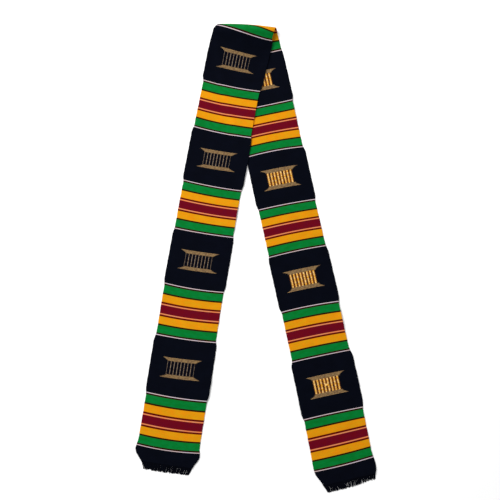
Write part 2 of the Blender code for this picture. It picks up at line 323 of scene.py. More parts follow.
@dataclass
class StripShape:
    """The middle surface of the folded strip, with the same fold as its solid.

    Base is its height over the floor, and layer what it rises to lie on the back leg,
    between drape_start and drape_end before that leg's edge. The fold gets smaller to
    the right by its taper, and to both sides by its crown. The widths change over
    width_change to each side of a place that is width_delay inside a black panel.
    """

    base: float = 0.0007
    layer: float = 0.0020
    fold_x: float = -0.01686
    fold_y: float = 0.43800
    fold_radius: float = 0.0115
    fold_overturn: float = math.radians(30.0)
    fold_settle: float = 0.071
    fold_size: float = 1.14
    fold_taper: float = 0.26
    fold_crown: float = 0.23
    fold_half_width: float = 0.062
    fold_from_line: float = 0.0250
    fold_draw: float = 0.0045
    fold_draw_reach: float = 0.085
    drape_start: float = 0.030
    drape_end: float = 0.011
    loop_reach: float = 0.022
    covered_reach: float = 0.40
    width_change: float = 0.009
    width_delay: float = 0.003
    corner_roll: float = 0.0011
    line_step: float = 0.001
    fold_step: float = 0.0002
    spare: float = 0.06
    probe: float = 0.0006
    mean_half: float = 0.057
    edge_points: int = 90
    lift_power: int = 3
    ripple_middle: float = 0.35
    roll_power: int = 8

    def __post_init__(self) -> None:
        """Work out the middle line, the fold's side view and the back leg's edge."""
        lengths = np.array([section.length for section in STRIP])
        line_ends = np.concatenate([[0.0], np.cumsum(lengths)])
        self.lines = line_ends[FOLD_SECTION] + self.fold_from_line - line_ends
        self.make_middle_line()
        self.make_courses()
        self.make_fold()
        self.make_back_edge()

    def make_middle_line(self) -> None:
        """Work out the middle line's course in the plane of the opened cloth."""
        middles = (self.lines[1:] + self.lines[:-1]) / 2.0
        before = int(round((self.spare - self.lines[-1]) / self.line_step))
        after = int(round((self.lines[0] + self.spare) / self.line_step))
        self.alongs = np.arange(-before, after + 1) * self.line_step
        leans = np.radians([section.lean for section in STRIP])
        skews = np.radians([section.skew for section in STRIP])
        self.leans = np.interp(self.alongs, middles[::-1], leans[::-1])
        self.skews = np.interp(self.alongs, middles[::-1], skews[::-1])
        strays = np.array([section.stray for section in STRIP])
        self.strays = np.interp(self.alongs, middles[::-1], strays[::-1])
        self.widths = np.full(len(self.alongs), STRIP[0].width)
        for line, first, second in zip(self.lines[1:], STRIP, STRIP[1:]):
            into_black = second.ground is Ground.BLACK
            change_at = line - self.width_delay if into_black else line + self.width_delay
            past = (change_at - self.alongs) / (2.0 * self.width_change) + 0.5
            self.widths += (second.width - first.width) * smooth_step(past)
        self.xs = running_sum(-np.sin(self.leans), self.line_step)
        self.ys = running_sum(np.cos(self.leans), self.line_step)
        self.xs -= self.xs[before]
        self.ys -= self.ys[before]

    def make_courses(self) -> None:
        """Work out how the picks stray at every step: not at all at the woven ends."""
        numbers = [course.place for course in COURSES]
        inner = np.interp(numbers, range(len(self.lines)), self.lines)
        places = [self.lines[0] + END_WOVEN, *inner, self.lines[-1] - END_WOVEN]
        columns = []
        for part in ("left", "middle", "right"):
            values = [0.0, *(getattr(course, part) for course in COURSES), 0.0]
            columns.append(np.interp(self.alongs, places[::-1], values[::-1]))
        self.left_course, self.middle_course, self.right_course = columns

    def make_fold(self) -> None:
        """Work out the fold's side view: up off the floor, over and down again."""
        turn_length = self.fold_radius * (math.pi + self.fold_overturn)
        self.fold_length = turn_length + self.fold_settle
        self.fold_runs = np.arange(0.0, self.fold_length + self.fold_step, self.fold_step)
        settled = np.clip((self.fold_runs - turn_length) / self.fold_settle, 0.0, 1.0)
        landing = math.pi + self.fold_overturn * (1.0 - settled)
        turning = self.fold_runs < turn_length
        angle = np.where(turning, self.fold_runs / self.fold_radius, landing)
        self.fold_ys = running_sum(np.cos(angle), self.fold_step)
        self.fold_zs = running_sum(np.sin(angle), self.fold_step)
        self.taken_up = self.fold_ys[-1] + self.fold_runs[-1]

    def make_back_edge(self) -> None:
        """Work out where the back leg's left edge runs, which the front leg crosses."""
        along = np.linspace(self.lines[-1], 0.0, self.edge_points)
        x, y, _, _ = self.plan(along, np.full(len(along), -1.0))
        order = np.argsort(y)
        self.edge_ys = y[order]
        self.edge_xs = x[order]

    def over_fold(self, distance: Array, size: Array) -> tuple[Array, Array]:
        """Carry distances across the fold's line over a fold of a given size.

        Args:
            distance: How far past the fold's line, in the opened cloth.
            size: The fold's size there, 1 for a full one.

        Returns:
            The places along Y and the heights that the fold gives.
        """
        run = distance + self.fold_radius * math.pi / 2.0
        share = smooth_step(run / (size * self.fold_length))
        y = size * np.interp(run / size, self.fold_runs, self.fold_ys)
        y += (1.0 - size) * self.taken_up * share
        z = size * np.interp(run / size, self.fold_runs, self.fold_zs)
        z -= size * share * self.fold_zs[-1]
        before = run <= 0.0
        after = run >= size * self.fold_length
        y = np.where(before, run, np.where(after, self.taken_up - run, y))
        return y, np.where(before | after, 0.0, z)

    def half_width(self, along: Array, share: Array) -> Array:
        """Work out the cloth's half width on the side that each share is on.

        Args:
            along: Distances along the middle line.
            share: Shares across.

        Returns:
            The half widths.
        """
        half = np.interp(along, self.alongs, self.widths) / 2.0
        drawn = self.fold_draw * (1.0 - smooth_step(np.abs(along) / self.fold_draw_reach))
        half = half - np.where(share < 0.0, drawn, 0.0)
        ends = (
            (along - self.lines[0], FRONT_END),
            (self.lines[-1] - along, BACK_END),
        )
        for past, rows in ends:
            places = [row.past for row in rows]
            left = np.interp(past, places, [row.left for row in rows])
            right = np.interp(past, places, [row.right for row in rows])
            half = np.where(past > places[0], np.where(share > 0.0, right, left), half)
        side = np.sign(share)
        return half + sum(wave.at(along, side) for wave in SELVAGE_WAVES)

    def past_end(self, along: Array) -> Array:
        """Return how far past the last pale line of its end a place is, or 0."""
        past = np.maximum(along - self.lines[0], self.lines[-1] - along)
        return np.maximum(past, 0.0)

    def strayed(self, along: Array, share: Array) -> Array:
        """Work out where along the run each place lies, with its pick's course.

        Args:
            along: Distances along the middle line.
            share: Shares across.

        Returns:
            The distances along the run.
        """
        left = np.interp(along, self.alongs, self.left_course)
        middle = np.interp(along, self.alongs, self.middle_course)
        right = np.interp(along, self.alongs, self.right_course)
        bowed = middle * (1.0 - share ** 2)
        return along + bowed + (left * (share - 1.0) + right * (share + 1.0)) * share / 2.0

    def plan(self, along: Array, share: Array) -> tuple[Array, Array, Array, Array]:
        """Lay places of the cloth out on the floor and over the fold.

        Args:
            along: Distances along the middle line.
            share: Shares across.

        Returns:
            Their x and y, the height that the fold gives, and the distance past its line.
        """
        across = share * self.half_width(along, share)
        bowed = self.strayed(along, share)
        lean = np.interp(bowed, self.alongs, self.leans)
        skew = np.interp(bowed, self.alongs, self.skews)
        shear = (across + np.interp(bowed, self.alongs, self.strays)) / np.cos(skew)
        x = np.interp(bowed, self.alongs, self.xs) + shear * np.cos(lean + skew)
        past = np.interp(bowed, self.alongs, self.ys) + shear * np.sin(lean + skew)
        side = np.clip(x / self.fold_half_width, -1.0, 1.0)
        size = self.fold_size - self.fold_taper * side - self.fold_crown * side ** 2
        y, height = self.over_fold(past, size)
        return self.fold_x + x, self.fold_y + y, height, past

    def lifted(self, along: Array, share: Array) -> Array:
        """Work out how far the selvages and ripples stand off what is under them.

        Args:
            along: Distances along the middle line.
            share: Shares across.

        Returns:
            The heights.
        """
        rise = np.zeros(np.shape(along))
        for lift in LIFTS:
            away = np.clip((along - lift.along) / lift.reach, -1.0, 1.0)
            on_side = share * lift.side > 0.0
            hump = lift.rise * np.cos(away * math.pi / 2.0) ** 2
            rise += np.where(on_side, hump * np.abs(share) ** self.lift_power, 0.0)
        ripple = sum(wave.size + wave.at(along, share) for wave in RIPPLES)
        open_part = smooth_step((-along - self.covered_reach) / self.loop_reach)
        free = np.where(along > 0.0, smooth_step(along / self.loop_reach), open_part)
        spread = self.ripple_middle + (1.0 - self.ripple_middle) * share ** 2
        return rise + ripple * free * spread

    def crossing(self, x: Array, y: Array) -> Array:
        """Return how high the front leg lies: on the back leg or on the floor."""
        over = x - np.interp(y, self.edge_ys, self.edge_xs) + self.drape_start
        return self.layer * smooth_step(over / (self.drape_start - self.drape_end))

    def roll(self, along: Array, share: Array) -> Array:
        """Return how much thicker the drawn-in corners of the ends are rolled."""
        grown = smooth_step(self.past_end(along) / END_WOVEN)
        return self.corner_roll * grown * np.abs(share) ** self.roll_power

    def place(self, along: Array, share: Array) -> Array:
        """Work out the middle surface.

        Args:
            along: Distances along the middle line.
            share: Shares across.

        Returns:
            Its points.
        """
        x, y, height, past = self.plan(along, share)
        z = self.base + height + self.lifted(along, share)
        z += self.roll(along, share) / 2.0
        z += smooth_step(past / self.loop_reach) * self.crossing(x, y)
        return np.stack((x, y, z), axis=-1)

    def normal(self, along: Array, share: Array) -> Array:
        """Work out which way the cloth's right side faces.

        Args:
            along: Distances along the middle line.
            share: Shares across.

        Returns:
            A unit vector for each place.
        """
        width = self.probe / self.mean_half
        run = self.place(along + self.probe, share) - self.place(along - self.probe, share)
        reach = self.place(along, share + width) - self.place(along, share - width)
        stand = np.cross(run, reach)
        return stand / np.linalg.norm(stand, axis=-1, keepdims=True)

    def stand_off(self, along: Array, share: Array, height: Array) -> Array:
        """Return points at a height off the middle surface, right side up."""
        points = self.place(along, share)
        return points + self.normal(along, share) * np.expand_dims(height, -1)


Operand = Union["Value", float]


class Value:
    """A socket of a material's nodes that Python's own operators work on."""

    def __init__(self, graph: "ShaderGraph", socket: bpy.types.NodeSocket) -> None:
        """Wrap a socket of a graph."""
        self.graph = graph
        self.socket = socket

    def math(self, operation: str, first: Operand, second: Operand = 0.0) -> "Value":
        """Add a Math node and return its result."""
        inputs = {0: first, 1: second}
        return self.graph.make("ShaderNodeMath", {"operation": operation}, inputs)

    def __add__(self, other: Operand) -> "Value":
        """Return this value plus another."""
        return self.math("ADD", self, other)

    def __radd__(self, other: Operand) -> "Value":
        """Return a number plus this value."""
        return self.math("ADD", other, self)

    def __sub__(self, other: Operand) -> "Value":
        """Return this value less another."""
        return self.math("SUBTRACT", self, other)

    def __rsub__(self, other: Operand) -> "Value":
        """Return a number less this value."""
        return self.math("SUBTRACT", other, self)

    def __mul__(self, other: Operand) -> "Value":
        """Return this value times another."""
        return self.math("MULTIPLY", self, other)

    def __truediv__(self, other: Operand) -> "Value":
        """Return this value over another."""
        return self.math("DIVIDE", self, other)

    def __abs__(self) -> "Value":
        """Return this value without its sign."""
        return self.math("ABSOLUTE", self)

    def floor(self) -> "Value":
        """Return the whole number below this value."""
        return self.math("FLOOR", self)

    def fraction(self) -> "Value":
        """Return what is left of this value above its whole number."""
        return self.math("FRACT", self)

    def cosine(self) -> "Value":
        """Return the cosine of this value."""
        return self.math("COSINE", self)

    def most(self, other: Operand) -> "Value":
        """Return the larger of this value and another."""
        return self.math("MAXIMUM", self, other)

    def above(self, low: float, high: float) -> "Value":
        """Return a soft step from 0 at a low value to 1 at a high one."""
        inputs = {"Value": self, "From Min": low, "From Max": high}
        return self.graph.make("ShaderNodeMapRange", {"interpolation_type": "SMOOTHSTEP"}, inputs)

    def wave(self) -> "Value":
        """Return a wave that is 1 at the whole numbers of this value and 0 between them."""
        return (self * FULL_TURN).cosine() * 0.5 + 0.5

    def arch(self) -> "Value":
        """Return an arch over each unit of this value, 0 at its ends and 1 in its middle."""
        return ((self.fraction() - 0.5) * math.pi).cosine()


@dataclass(frozen=True)
class EvenLook:
    """The settings of a finish that are the same all over it."""

    specular: float
    sheen: float = 0.0
    sheen_roughness: float = 0.5
    sheen_tint: Colour = (1.0, 1.0, 1.0)

    def sockets(self) -> dict[str, Any]:
        """Name the shader's sockets.

        Returns:
            The value of each socket.
        """
        return {
            "Specular IOR Level": self.specular,
            "Sheen Weight": self.sheen,
            "Sheen Roughness": self.sheen_roughness,
            "Sheen Tint": (*self.sheen_tint, 1.0),
        }


class ShaderGraph:
    """The nodes of one material, which it makes and joins."""

    def __init__(self, name: str, look: EvenLook) -> None:
        """Start a material.

        Args:
            name: The material's name.
            look: Its even settings.
        """
        self.material = bpy.data.materials.new(name)
        self.material.use_nodes = True
        self.tree = self.material.node_tree
        self.shader = self.tree.nodes["Principled BSDF"]
        for socket, value in look.sockets().items():
            self.shader.inputs[socket].default_value = value

    def make(
        self,
        kind: str,
        settings: Optional[dict[str, Any]] = None,
        inputs: Optional[dict[Any, Any]] = None,
        output: int = 0,
    ) -> Value:
        """Make one node.

        Args:
            kind: The node's type.
            settings: Its settings, which are set first. Stops are those of a ramp.
            inputs: The values or links of its sockets, by name or number.
            output: The number of the socket that comes back.

        Returns:
            One output of the node.
        """
        node = self.tree.nodes.new(kind)
        for name, setting in (settings or {}).items():
            if name == "stops":
                self.set_stops(node.color_ramp, setting)
            else:
                setattr(node, name, setting)
        for name, value in (inputs or {}).items():
            self.feed(node.inputs[name], value)
        return Value(self, node.outputs[output])

    def feed(self, socket: bpy.types.NodeSocket, value: Any) -> None:
        """Link a socket to a value, or set it to a number or a colour.

        Args:
            socket: The socket.
            value: What it takes.
        """
        if isinstance(value, Value):
            self.tree.links.new(value.socket, socket)
        elif isinstance(value, tuple) and len(value) == 3 and socket.type == "RGBA":
            socket.default_value = (*value, 1.0)
        else:
            socket.default_value = value

    @staticmethod
    def set_stops(ramp: bpy.types.ColorRamp, stops: Sequence[tuple[float, Colour]]) -> None:
        """Give a ramp its stops.

        Args:
            ramp: The ramp.
            stops: The place and colour of each stop, in rising order.
        """
        while len(ramp.elements) < len(stops):
            ramp.elements.new(1.0)
        for element, (place, colour) in zip(ramp.elements, stops):
            element.position = place
            element.color = (*colour, 1.0)

    def uv(self, name: str) -> tuple[Value, Value]:
        """Read a UV map.

        Args:
            name: The map's name.

        Returns:
            Its two coordinates.
        """
        place = self.make("ShaderNodeUVMap", {"uv_map": name})
        parts = [self.make("ShaderNodeSeparateXYZ", None, {0: place}, part) for part in (0, 1)]
        return parts[0], parts[1]

    def noise(self, x: Operand, y: Operand, detail: float = 2.0) -> Value:
        """Make soft noise that changes over one unit of x and of y.

        Args:
            x: The first coordinate.
            y: The second one.
            detail: How many finer layers it has.

        Returns:
            The noise, from 0 to 1.
        """
        inputs = {"Vector": self.make("ShaderNodeCombineXYZ", None, {0: x, 1: y})}
        inputs |= {"Scale": 1.0, "Detail": detail}
        return self.make("ShaderNodeTexNoise", {"noise_dimensions": "2D"}, inputs)

    def chance(self, number: Value) -> Value:
        """Return a value from 0 to 1 that is even for each whole number."""
        inputs = {"W": number.floor()}
        return self.make("ShaderNodeTexWhiteNoise", {"noise_dimensions": "1D"}, inputs)

    def blend(self, factor: Operand, first: Any, second: Any) -> Value:
        """Return a colour between two colours."""
        inputs = {0: factor, 6: first, 7: second}
        return self.make("ShaderNodeMix", {"data_type": "RGBA"}, inputs, 2)

    def shade(self, colour: Value, amount: Operand) -> Value:
        """Return a colour made lighter or darker."""
        inputs = {0: colour, "Scale": amount}
        return self.make("ShaderNodeVectorMath", {"operation": "SCALE"}, inputs)

    def tint(self, colour: Value, factor: Operand, first: Colour, second: Colour) -> Value:
        """Return a colour times a tint between two tints."""
        inputs = {0: colour, 1: self.blend(factor, first, second)}
        return self.make("ShaderNodeVectorMath", {"operation": "MULTIPLY"}, inputs)

    def finish(
        self, colour: Value, roughness: Operand, height: Value, relief: float
    ) -> bpy.types.Material:
        """Feed the shader.

        Args:
            colour: The base colour.
            roughness: The roughness.
            height: The relief of the threads, from 0 to 1.
            relief: How high that relief is.

        Returns:
            The material.
        """
        self.feed(self.shader.inputs["Base Color"], colour)
        self.feed(self.shader.inputs["Roughness"], roughness)
        inputs = {"Strength": 1.0, "Distance": relief, "Height": height}
        normal = self.make("ShaderNodeBump", None, inputs)
        self.feed(self.shader.inputs["Normal"], normal)
        return self.material


@dataclass(frozen=True)
class Grain:
    """Soft noise: its sizes across and along what it lies on, and its detail."""

    across: float
    along: float
    detail: float = 3.0

    def at(self, graph: ShaderGraph, across: Value, along: Value) -> Value:
        """Return the noise at a place, from 0 to 1."""
        return graph.noise(across / self.across, along / self.along, self.detail)


@dataclass(frozen=True)
class Mixture:
    """A base, and the share of each of some values that is added to it."""

    base: float
    shares: tuple[float, ...]

    def of(self, *values: Value) -> Value:
        """Return the base plus the share of each value.

        Args:
            values: The values, in the order of their shares.

        Returns:
            The sum.
        """
        total: Operand = self.base
        for value, share in zip(values, self.shares):
            total = total + value * share
        return total


@dataclass(frozen=True)
class Threads:
    """How the threads of a ground lie: warp and pick are the distances between them."""

    warp: float
    pick: float
    warp_shows: float
    warp_drift: Grain = Grain(0.009, 0.021, 2.0)
    warp_stray: float = 0.6
    pick_drift: Grain = Grain(0.016, 0.004, 2.0)
    pick_stray: float = 0.8
    pick_dip: float = 0.6

    def height(self, graph: ShaderGraph, across: Value, along: Value) -> Value:
        """Work out the relief of the threads.

        Args:
            graph: The material's graph.
            across: The place across the cloth.
            along: The place along it.

        Returns:
            The height, from 0 in the gaps to 1 on the picks.
        """
        ends = across / self.warp + self.warp_drift.at(graph, across, along) * self.warp_stray
        picks = along / self.pick + self.pick_drift.at(graph, across, along) * self.pick_stray
        over = ((ends + picks.floor()) * 0.5).wave()
        weft = picks.arch() * (over * self.pick_dip + (1.0 - self.pick_dip))
        warp = ends.arch() * (1.0 - over) * self.warp_shows
        return weft.most(warp)


@dataclass(frozen=True)
class Weave:
    """What a finish of the woven cloth reads at a place of it."""

    section: Value
    across: Value
    along: Value
    height: Value
    from_line: Value
    streak: Value
    cloud: Value
    fuzz: Value
    edge_lighter: Value


@dataclass(frozen=True)
class ClothFinish:
    """What the finishes of the woven cloth share.

    Tooth is how far the threads' relief blurs a change of colour. The selvages are drawn
    lighter from a share across on.
    """

    name: str
    look: EvenLook
    threads: Threads
    cloud: Grain
    tooth: float
    relief: float
    lighter_from: float
    edge_lightening: float
    streak_width: float = 0.030
    fuzz: Grain = Grain(0.00030, 0.00022)
    raised: Mixture = Mixture(0.0, (0.8, 0.2))

    def read(self, graph: ShaderGraph) -> Weave:
        """Read the cloth's two UV maps.

        Args:
            graph: The material's graph.

        Returns:
            The places, the relief, the distance from a pale line and the uneven parts.
        """
        share, section = graph.uv("bands")
        across, along = graph.uv("weave")
        height = self.threads.height(graph, across, along)
        from_line = 0.5 - abs(section.fraction() - 0.5) + (height - 0.5) * self.tooth
        streak = Grain(self.streak_width, self.threads.pick)
        uneven = [grain.at(graph, across, along) for grain in (streak, self.cloud, self.fuzz)]
        # Lighter towards the selvages, from a share across on.
        edge_lighter = abs(share).above(self.lighter_from, 1.0) * self.edge_lightening
        return Weave(section, across, along, height, from_line, *uneven, edge_lighter)


@dataclass(frozen=True)
class BandedFinish(ClothFinish):
    """The cross stripes: weft-faced cotton, closely beaten."""

    name: str = "banded_weft"
    look: EvenLook = EvenLook(0.04)
    threads: Threads = Threads(0.0011, 0.00056, 0.15)
    cloud: Grain = Grain(0.018, 0.014)
    tooth: float = 0.0012
    relief: float = 0.00016
    lighter_from: float = 0.955
    edge_lightening: float = 0.10
    edge: float = 0.0016
    lot: Grain = Grain(0.012, 0.006, 2.0)
    lot_edges: tuple[float, float] = (0.3, 0.7)
    warm: Colour = (1.05, 0.94, 0.80)
    cool: Colour = (0.95, 1.06, 1.20)
    tone_and_thread_shade: Mixture = Mixture(0.70, (0.26, 0.16, 0.18, 0.10))
    rough: Mixture = Mixture(0.62, (0.14, 0.16))

    def stops(self) -> list[tuple[float, Colour]]:
        """Work out the ramp of the bands.

        Returns:
            Its stops, from a pale line to the middle of the group.
        """
        stops = [(0.0, BANDS[0].dye.light())]
        for band, following in zip(BANDS, BANDS[1:]):
            stops.append((2.0 * band.end - self.edge, band.dye.light()))
            stops.append((2.0 * band.end + self.edge, following.dye.light()))
        return stops

    def material(self) -> bpy.types.Material:
        """Mix the finish.

        Returns:
            The material of the cross stripes.
        """
        graph = ShaderGraph(self.name, self.look)
        weave = self.read(graph)
        ramp = {"stops": self.stops()}
        colour = graph.make("ShaderNodeValToRGB", ramp, {0: weave.from_line * 2.0})
        lot = self.lot.at(graph, weave.across, weave.along).above(*self.lot_edges)
        colour = graph.tint(colour, lot, self.warm, self.cool)
        # Random variation from streaks, clouds and fuzz, and painted shade where the relief
        # darkens the gaps between threads.
        tone_and_thread_shade = self.tone_and_thread_shade.of(weave.streak, weave.cloud, weave.height, weave.fuzz) + weave.edge_lighter
        rough = self.rough.of(weave.streak, weave.fuzz)
        raised = self.raised.of(weave.height, weave.fuzz)
        return graph.finish(graph.shade(colour, tone_and_thread_shade), rough, raised, self.relief)


@dataclass(frozen=True)
class BlackFinish(ClothFinish):
    """The black panels and ends: an even plain weave, with half of each pale line."""

    name: str = "black_ground"
    look: EvenLook = EvenLook(0.02)
    threads: Threads = Threads(0.0011, 0.00070, 0.8)
    cloud: Grain = Grain(0.022, 0.017)
    tooth: float = 0.0010
    relief: float = 0.00018
    lighter_from: float = 0.96
    edge_lightening: float = 0.25
    pale_reach: float = 0.0060
    pale_edge: float = 0.001
    pale_drift: float = 0.007
    black_shares: tuple[float, float] = (0.8, 1.5)
    pale_shares: tuple[float, float] = (0.8, 1.1)
    pink: Colour = (1.12, 0.94, 1.0)
    grey: Colour = (0.92, 1.06, 1.02)
    tone_and_thread_shade: Mixture = Mixture(0.35, (0.9, 0.3, 0.3))
    pale_thread_shade: Mixture = Mixture(0.7, (0.4,))
    rough: Mixture = Mixture(0.66, (0.12, 0.14))

    def material(self) -> bpy.types.Material:
        """Mix the finish.

        Returns:
            The material of the black ground.
        """
        graph = ShaderGraph(self.name, self.look)
        weave = self.read(graph)
        ground = graph.blend(weave.cloud, *Dye.BLACK.lights(self.black_shares))
        # Random variation from streaks and fuzz, and painted shade where the relief darkens the
        # gaps between threads.
        tone_and_thread_shade = self.tone_and_thread_shade.of(weave.height, weave.streak, weave.fuzz) + weave.edge_lighter
        line = graph.blend(weave.fuzz, *Dye.PALE.lights(self.pale_shares))
        drift = graph.noise(weave.across / self.pale_drift, weave.section)
        line = graph.tint(line, drift, self.pink, self.grey)
        # The pale line is darker in the gaps between its threads: painted shade.
        lined = graph.shade(line, self.pale_thread_shade.of(weave.height))
        edges = (self.pale_reach - self.pale_edge, self.pale_reach + self.pale_edge)
        pale = 1.0 - weave.from_line.above(*edges)
        colour = graph.blend(pale, graph.shade(ground, tone_and_thread_shade), lined)
        rough = self.rough.of(weave.cloud, weave.fuzz)
        return graph.finish(colour, rough, self.raised.of(weave.height, weave.fuzz), self.relief)


@dataclass(frozen=True)
class InlayFinish:
    """A yarn of the inlays. Its UV map runs along the yarn and counts the yarns.

    Other is the dye of its blotches: darker mottle on the tan yarns, and on the gold yarn pale
    straw blotches that are painted highlights. Where the warp ties it down, it takes the
    shadow's dye, to the share that it is tied.
    """

    name: str
    dye: Dye
    other: Dye
    shadow: Dye
    tied: float
    look: EvenLook = EvenLook(0.10, 0.03)
    mottle_and_glints: Grain = Grain(0.0045, 2.2, 2.0)
    mottle_and_glint_edges: tuple[float, float] = (0.42, 0.62)
    tie: float = 0.0022
    tie_edges: tuple[float, float] = (0.35, 0.9)
    twist: float = 0.0011
    fuzz: Grain = Grain(0.00030, 0.20)
    relief: float = 0.00012
    tone_and_thread_shade: Mixture = Mixture(0.72, (0.30, 0.16, 0.20))
    rough: Mixture = Mixture(0.50, (0.25,))
    raised: Mixture = Mixture(0.0, (0.35, 0.15, 0.5))

    def material(self) -> bpy.types.Material:
        """Mix the finish.

        Returns:
            The material of this yarn.
        """
        graph = ShaderGraph(self.name, self.look)
        run, count = graph.uv("yarn")
        ties = ((run / self.tie + count.floor() * 0.5) * FULL_TURN).cosine()
        under = ties.above(*self.tie_edges) * self.tied
        plies = (run / self.twist + count).wave()
        fuzz = self.fuzz.at(graph, run, count)
        # Darker mottle on the tan yarns; on the gold yarn the pale straw blotches are painted
        # highlights.
        mottle_and_glints = self.mottle_and_glints.at(graph, run, count).above(*self.mottle_and_glint_edges)
        mixed = graph.blend(mottle_and_glints, self.dye.light(), self.other.light())
        dyed = graph.blend(under, mixed, self.shadow.light())
        # Random variation for each yarn and from fuzz, and painted shade in the grooves of the ply
        # twist.
        tone_and_thread_shade = self.tone_and_thread_shade.of(graph.chance(count), plies, fuzz)
        raised = self.raised.of(plies, fuzz, 1.0 - under)
        return graph.finish(graph.shade(dyed, tone_and_thread_shade), self.rough.of(fuzz), raised, self.relief)


@dataclass(frozen=True)
class FringeFinish:
    """The black cotton yarns of the raveled ends."""

    look: EvenLook = EvenLook(0.03)
    fibre: float = 0.0006
    fibre_turns: float = 3.0
    fuzz: Grain = Grain(0.0004, 0.15)
    black_shares: tuple[float, float] = (0.7, 1.7)
    relief: float = 0.00010
    tone_and_thread_shade: Mixture = Mixture(0.45, (0.6, 0.5))
    rough: Mixture = Mixture(0.60, (0.25,))
    raised: Mixture = Mixture(0.0, (0.6, 0.4))

    def material(self) -> bpy.types.Material:
        """Mix the finish.

        Returns:
            The material of the fringe.
        """
        graph = ShaderGraph("fringe_cotton", self.look)
        run, count = graph.uv("yarn")
        fibres = (run / self.fibre + count * self.fibre_turns).wave()
        fuzz = self.fuzz.at(graph, run, count)
        ground = graph.blend(graph.chance(count), *Dye.BLACK.lights(self.black_shares))
        # Painted shade in the grooves between fibres, with random variation from fuzz.
        colour = graph.shade(ground, self.tone_and_thread_shade.of(fibres, fuzz))
        raised = self.raised.of(fibres, fuzz)
        return graph.finish(colour, self.rough.of(fuzz), raised, self.relief)


def mesh_object(name: str, mesh: bpy.types.Mesh) -> bpy.types.Object:
    """Put a finished mesh in the scene, smooth, and let it ride on the part's body.

    Args:
        name: The piece's name.
        mesh: Its mesh.

    Returns:
        The piece's object.
    """
    mesh.shade_smooth()
    piece = bpy.data.objects.new(name, mesh)
    bpy.context.scene.collection.objects.link(piece)
    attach(piece, BODY)
    return piece


def mesh_from(bm: bmesh.types.BMesh, name: str) -> bpy.types.Mesh:
    """Turn a bmesh into a mesh and let the bmesh go.

    Args:
        bm: The bmesh.
        name: The mesh's name.

    Returns:
        The mesh.
    """
    mesh = bpy.data.meshes.new(name)
    bm.to_mesh(mesh)
    bm.free()
    return mesh


def points_of(mesh: bpy.types.Mesh) -> Array:
    """Read a mesh's points.

    Args:
        mesh: The mesh.

    Returns:
        A row for each point.
    """
    points = np.empty(len(mesh.vertices) * 3, np.float32)
    mesh.vertices.foreach_get("co", points)
    return points.reshape(-1, 3).astype(float)


def move_points(mesh: bpy.types.Mesh, points: Array) -> None:
    """Move a mesh's points."""
    mesh.vertices.foreach_set("co", points.astype(np.float32).ravel())
    mesh.update()


def corners_of(mesh: bpy.types.Mesh) -> Array:
    """Read which point is at each corner of each face.

    Args:
        mesh: The mesh.

    Returns:
        The numbers of the points.
    """
    corners = np.empty(len(mesh.loops), np.int32)
    mesh.loops.foreach_get("vertex_index", corners)
    return corners


def add_uv(mesh: bpy.types.Mesh, name: str, first: Array, second: Array) -> None:
    """Give a mesh a UV map.

    Args:
        mesh: The mesh.
        name: The map's name.
        first: The first coordinate at each point.
        second: The second one.
    """
    corners = corners_of(mesh)
    pairs = np.stack((first[corners], second[corners]), axis=-1)
    layer = mesh.uv_layers.new(name=name)
    layer.uv.foreach_set("vector", pairs.astype(np.float32).ravel())


def section_place(shape: StripShape, along: Array) -> Array:
    """Return places as the number of their section, plus the share of it passed.

    The stripes at the fold lack a little of their middle, so that each of their bands
    keeps its full width. The woven ends count on as black panels do.

    Args:
        shape: The strip's shape.
        along: Distances along the middle line.

    Returns:
        The places, below 0 past the front end's last line.
    """
    panel = STRIP[1].length
    numbers = np.arange(len(shape.lines), dtype=float)
    inside = np.interp(-along, -shape.lines, numbers)
    from_middle = inside - FOLD_SECTION - 0.5
    to_line = (0.5 - np.abs(from_middle)) / FOLD_STRETCH
    at_fold = np.where(from_middle < 0.0, to_line, 1.0 - to_line) + FOLD_SECTION
    inside = np.where(np.abs(from_middle) < 0.5, at_fold, inside)
    before = (shape.lines[0] - along) / panel
    after = numbers[-1] + (shape.lines[-1] - along) / panel
    inside = np.where(along < shape.lines[-1], after, inside)
    return np.where(along > shape.lines[0], before, inside)


def is_striped(section: Array) -> Array:
    """Return whether places, as section_place gives them, are in the stripes."""
    inside = (section > 0.0) & (section < len(STRIP))
    return inside & (np.floor(section) % 2 == 0)


